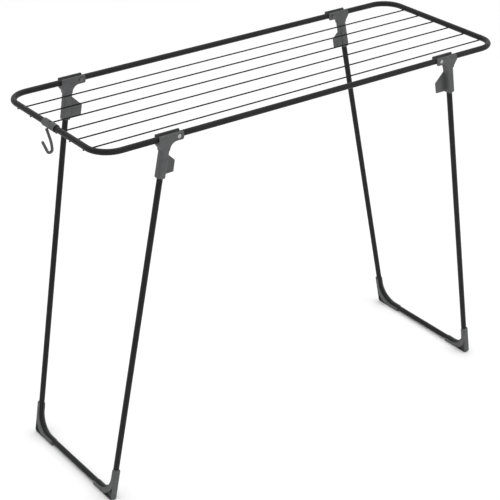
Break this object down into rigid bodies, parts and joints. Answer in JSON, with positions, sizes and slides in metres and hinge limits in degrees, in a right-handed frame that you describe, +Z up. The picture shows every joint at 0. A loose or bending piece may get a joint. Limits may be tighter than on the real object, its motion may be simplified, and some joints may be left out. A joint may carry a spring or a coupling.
{
  "type": "folding clothes drying rack",
  "caption": "Free-standing folding laundry drying rack: rounded tube frame with parallel wires, U-shaped tube legs that fold inwards on plastic heads, plastic feet, and a storage hook.",
  "frame": {"origin": "on the floor, under the middle of the top frame, with the rack standing open", "axes": "+Z up; X along the length of the rack, +X towards the end without the hook; Y across its width, +Y towards the back"},
  "size_m": [1.3469, 0.5064, 1.0426],
  "materials": {
    "frame_paint": "satin black powder coat",
    "wire_paint": "satin black powder coat",
    "leg_paint": "satin black powder coat",
    "head_plastic": "fine moulded texture, dark grey",
    "foot_plastic": "fine moulded texture, dark grey",
    "rivet_steel": "bright plated, domed",
    "washer_steel": "plain plated",
    "hook_plastic": "smooth moulded, dark grey"
  },
  "bodies": {
    "frame": {"top_frame_tube": "frame_paint", "drying_wire_1": "wire_paint", "drying_wire_2": "wire_paint", "drying_wire_3": "wire_paint", "drying_wire_4": "wire_paint", "drying_wire_5": "wire_paint", "drying_wire_6": "wire_paint", "left_front_pivot_rivet": "rivet_steel", "left_front_rivet_washer": "washer_steel", "left_back_pivot_rivet": "rivet_steel", "left_back_rivet_washer": "washer_steel", "right_front_pivot_rivet": "rivet_steel", "right_front_rivet_washer": "washer_steel", "right_back_pivot_rivet": "rivet_steel", "right_back_rivet_washer": "washer_steel"},
    "left_leg": {"left_leg_tube": "leg_paint", "left_front_leg_head": "head_plastic", "left_front_foot": "foot_plastic", "left_back_leg_head": "head_plastic", "left_back_foot": "foot_plastic"},
    "right_leg": {"right_leg_tube": "leg_paint", "right_front_leg_head": "head_plastic", "right_front_foot": "foot_plastic", "right_back_leg_head": "head_plastic", "right_back_foot": "foot_plastic"},
    "hook": {"storage_hook": "hook_plastic"}
  },
  "joints": [
    {"name": "right_leg_fold", "type": "hinge", "parent": "frame", "child": "right_leg", "pos_m": [0.434, 0, 1.032], "axis": [0, 1, 0], "range_deg": [0, 100]},
    {"name": "left_leg_fold", "type": "hinge", "parent": "frame", "child": "left_leg", "pos_m": [-0.434, 0, 1.032], "axis": [0, -1, 0], "range_deg": [0, 97]},
    {"name": "hook_swing", "type": "hinge", "parent": "frame", "child": "hook", "pos_m": [-0.655, 0, 1.032], "axis": [0, 1, 0], "range_deg": [-15, 110]}
  ]
}
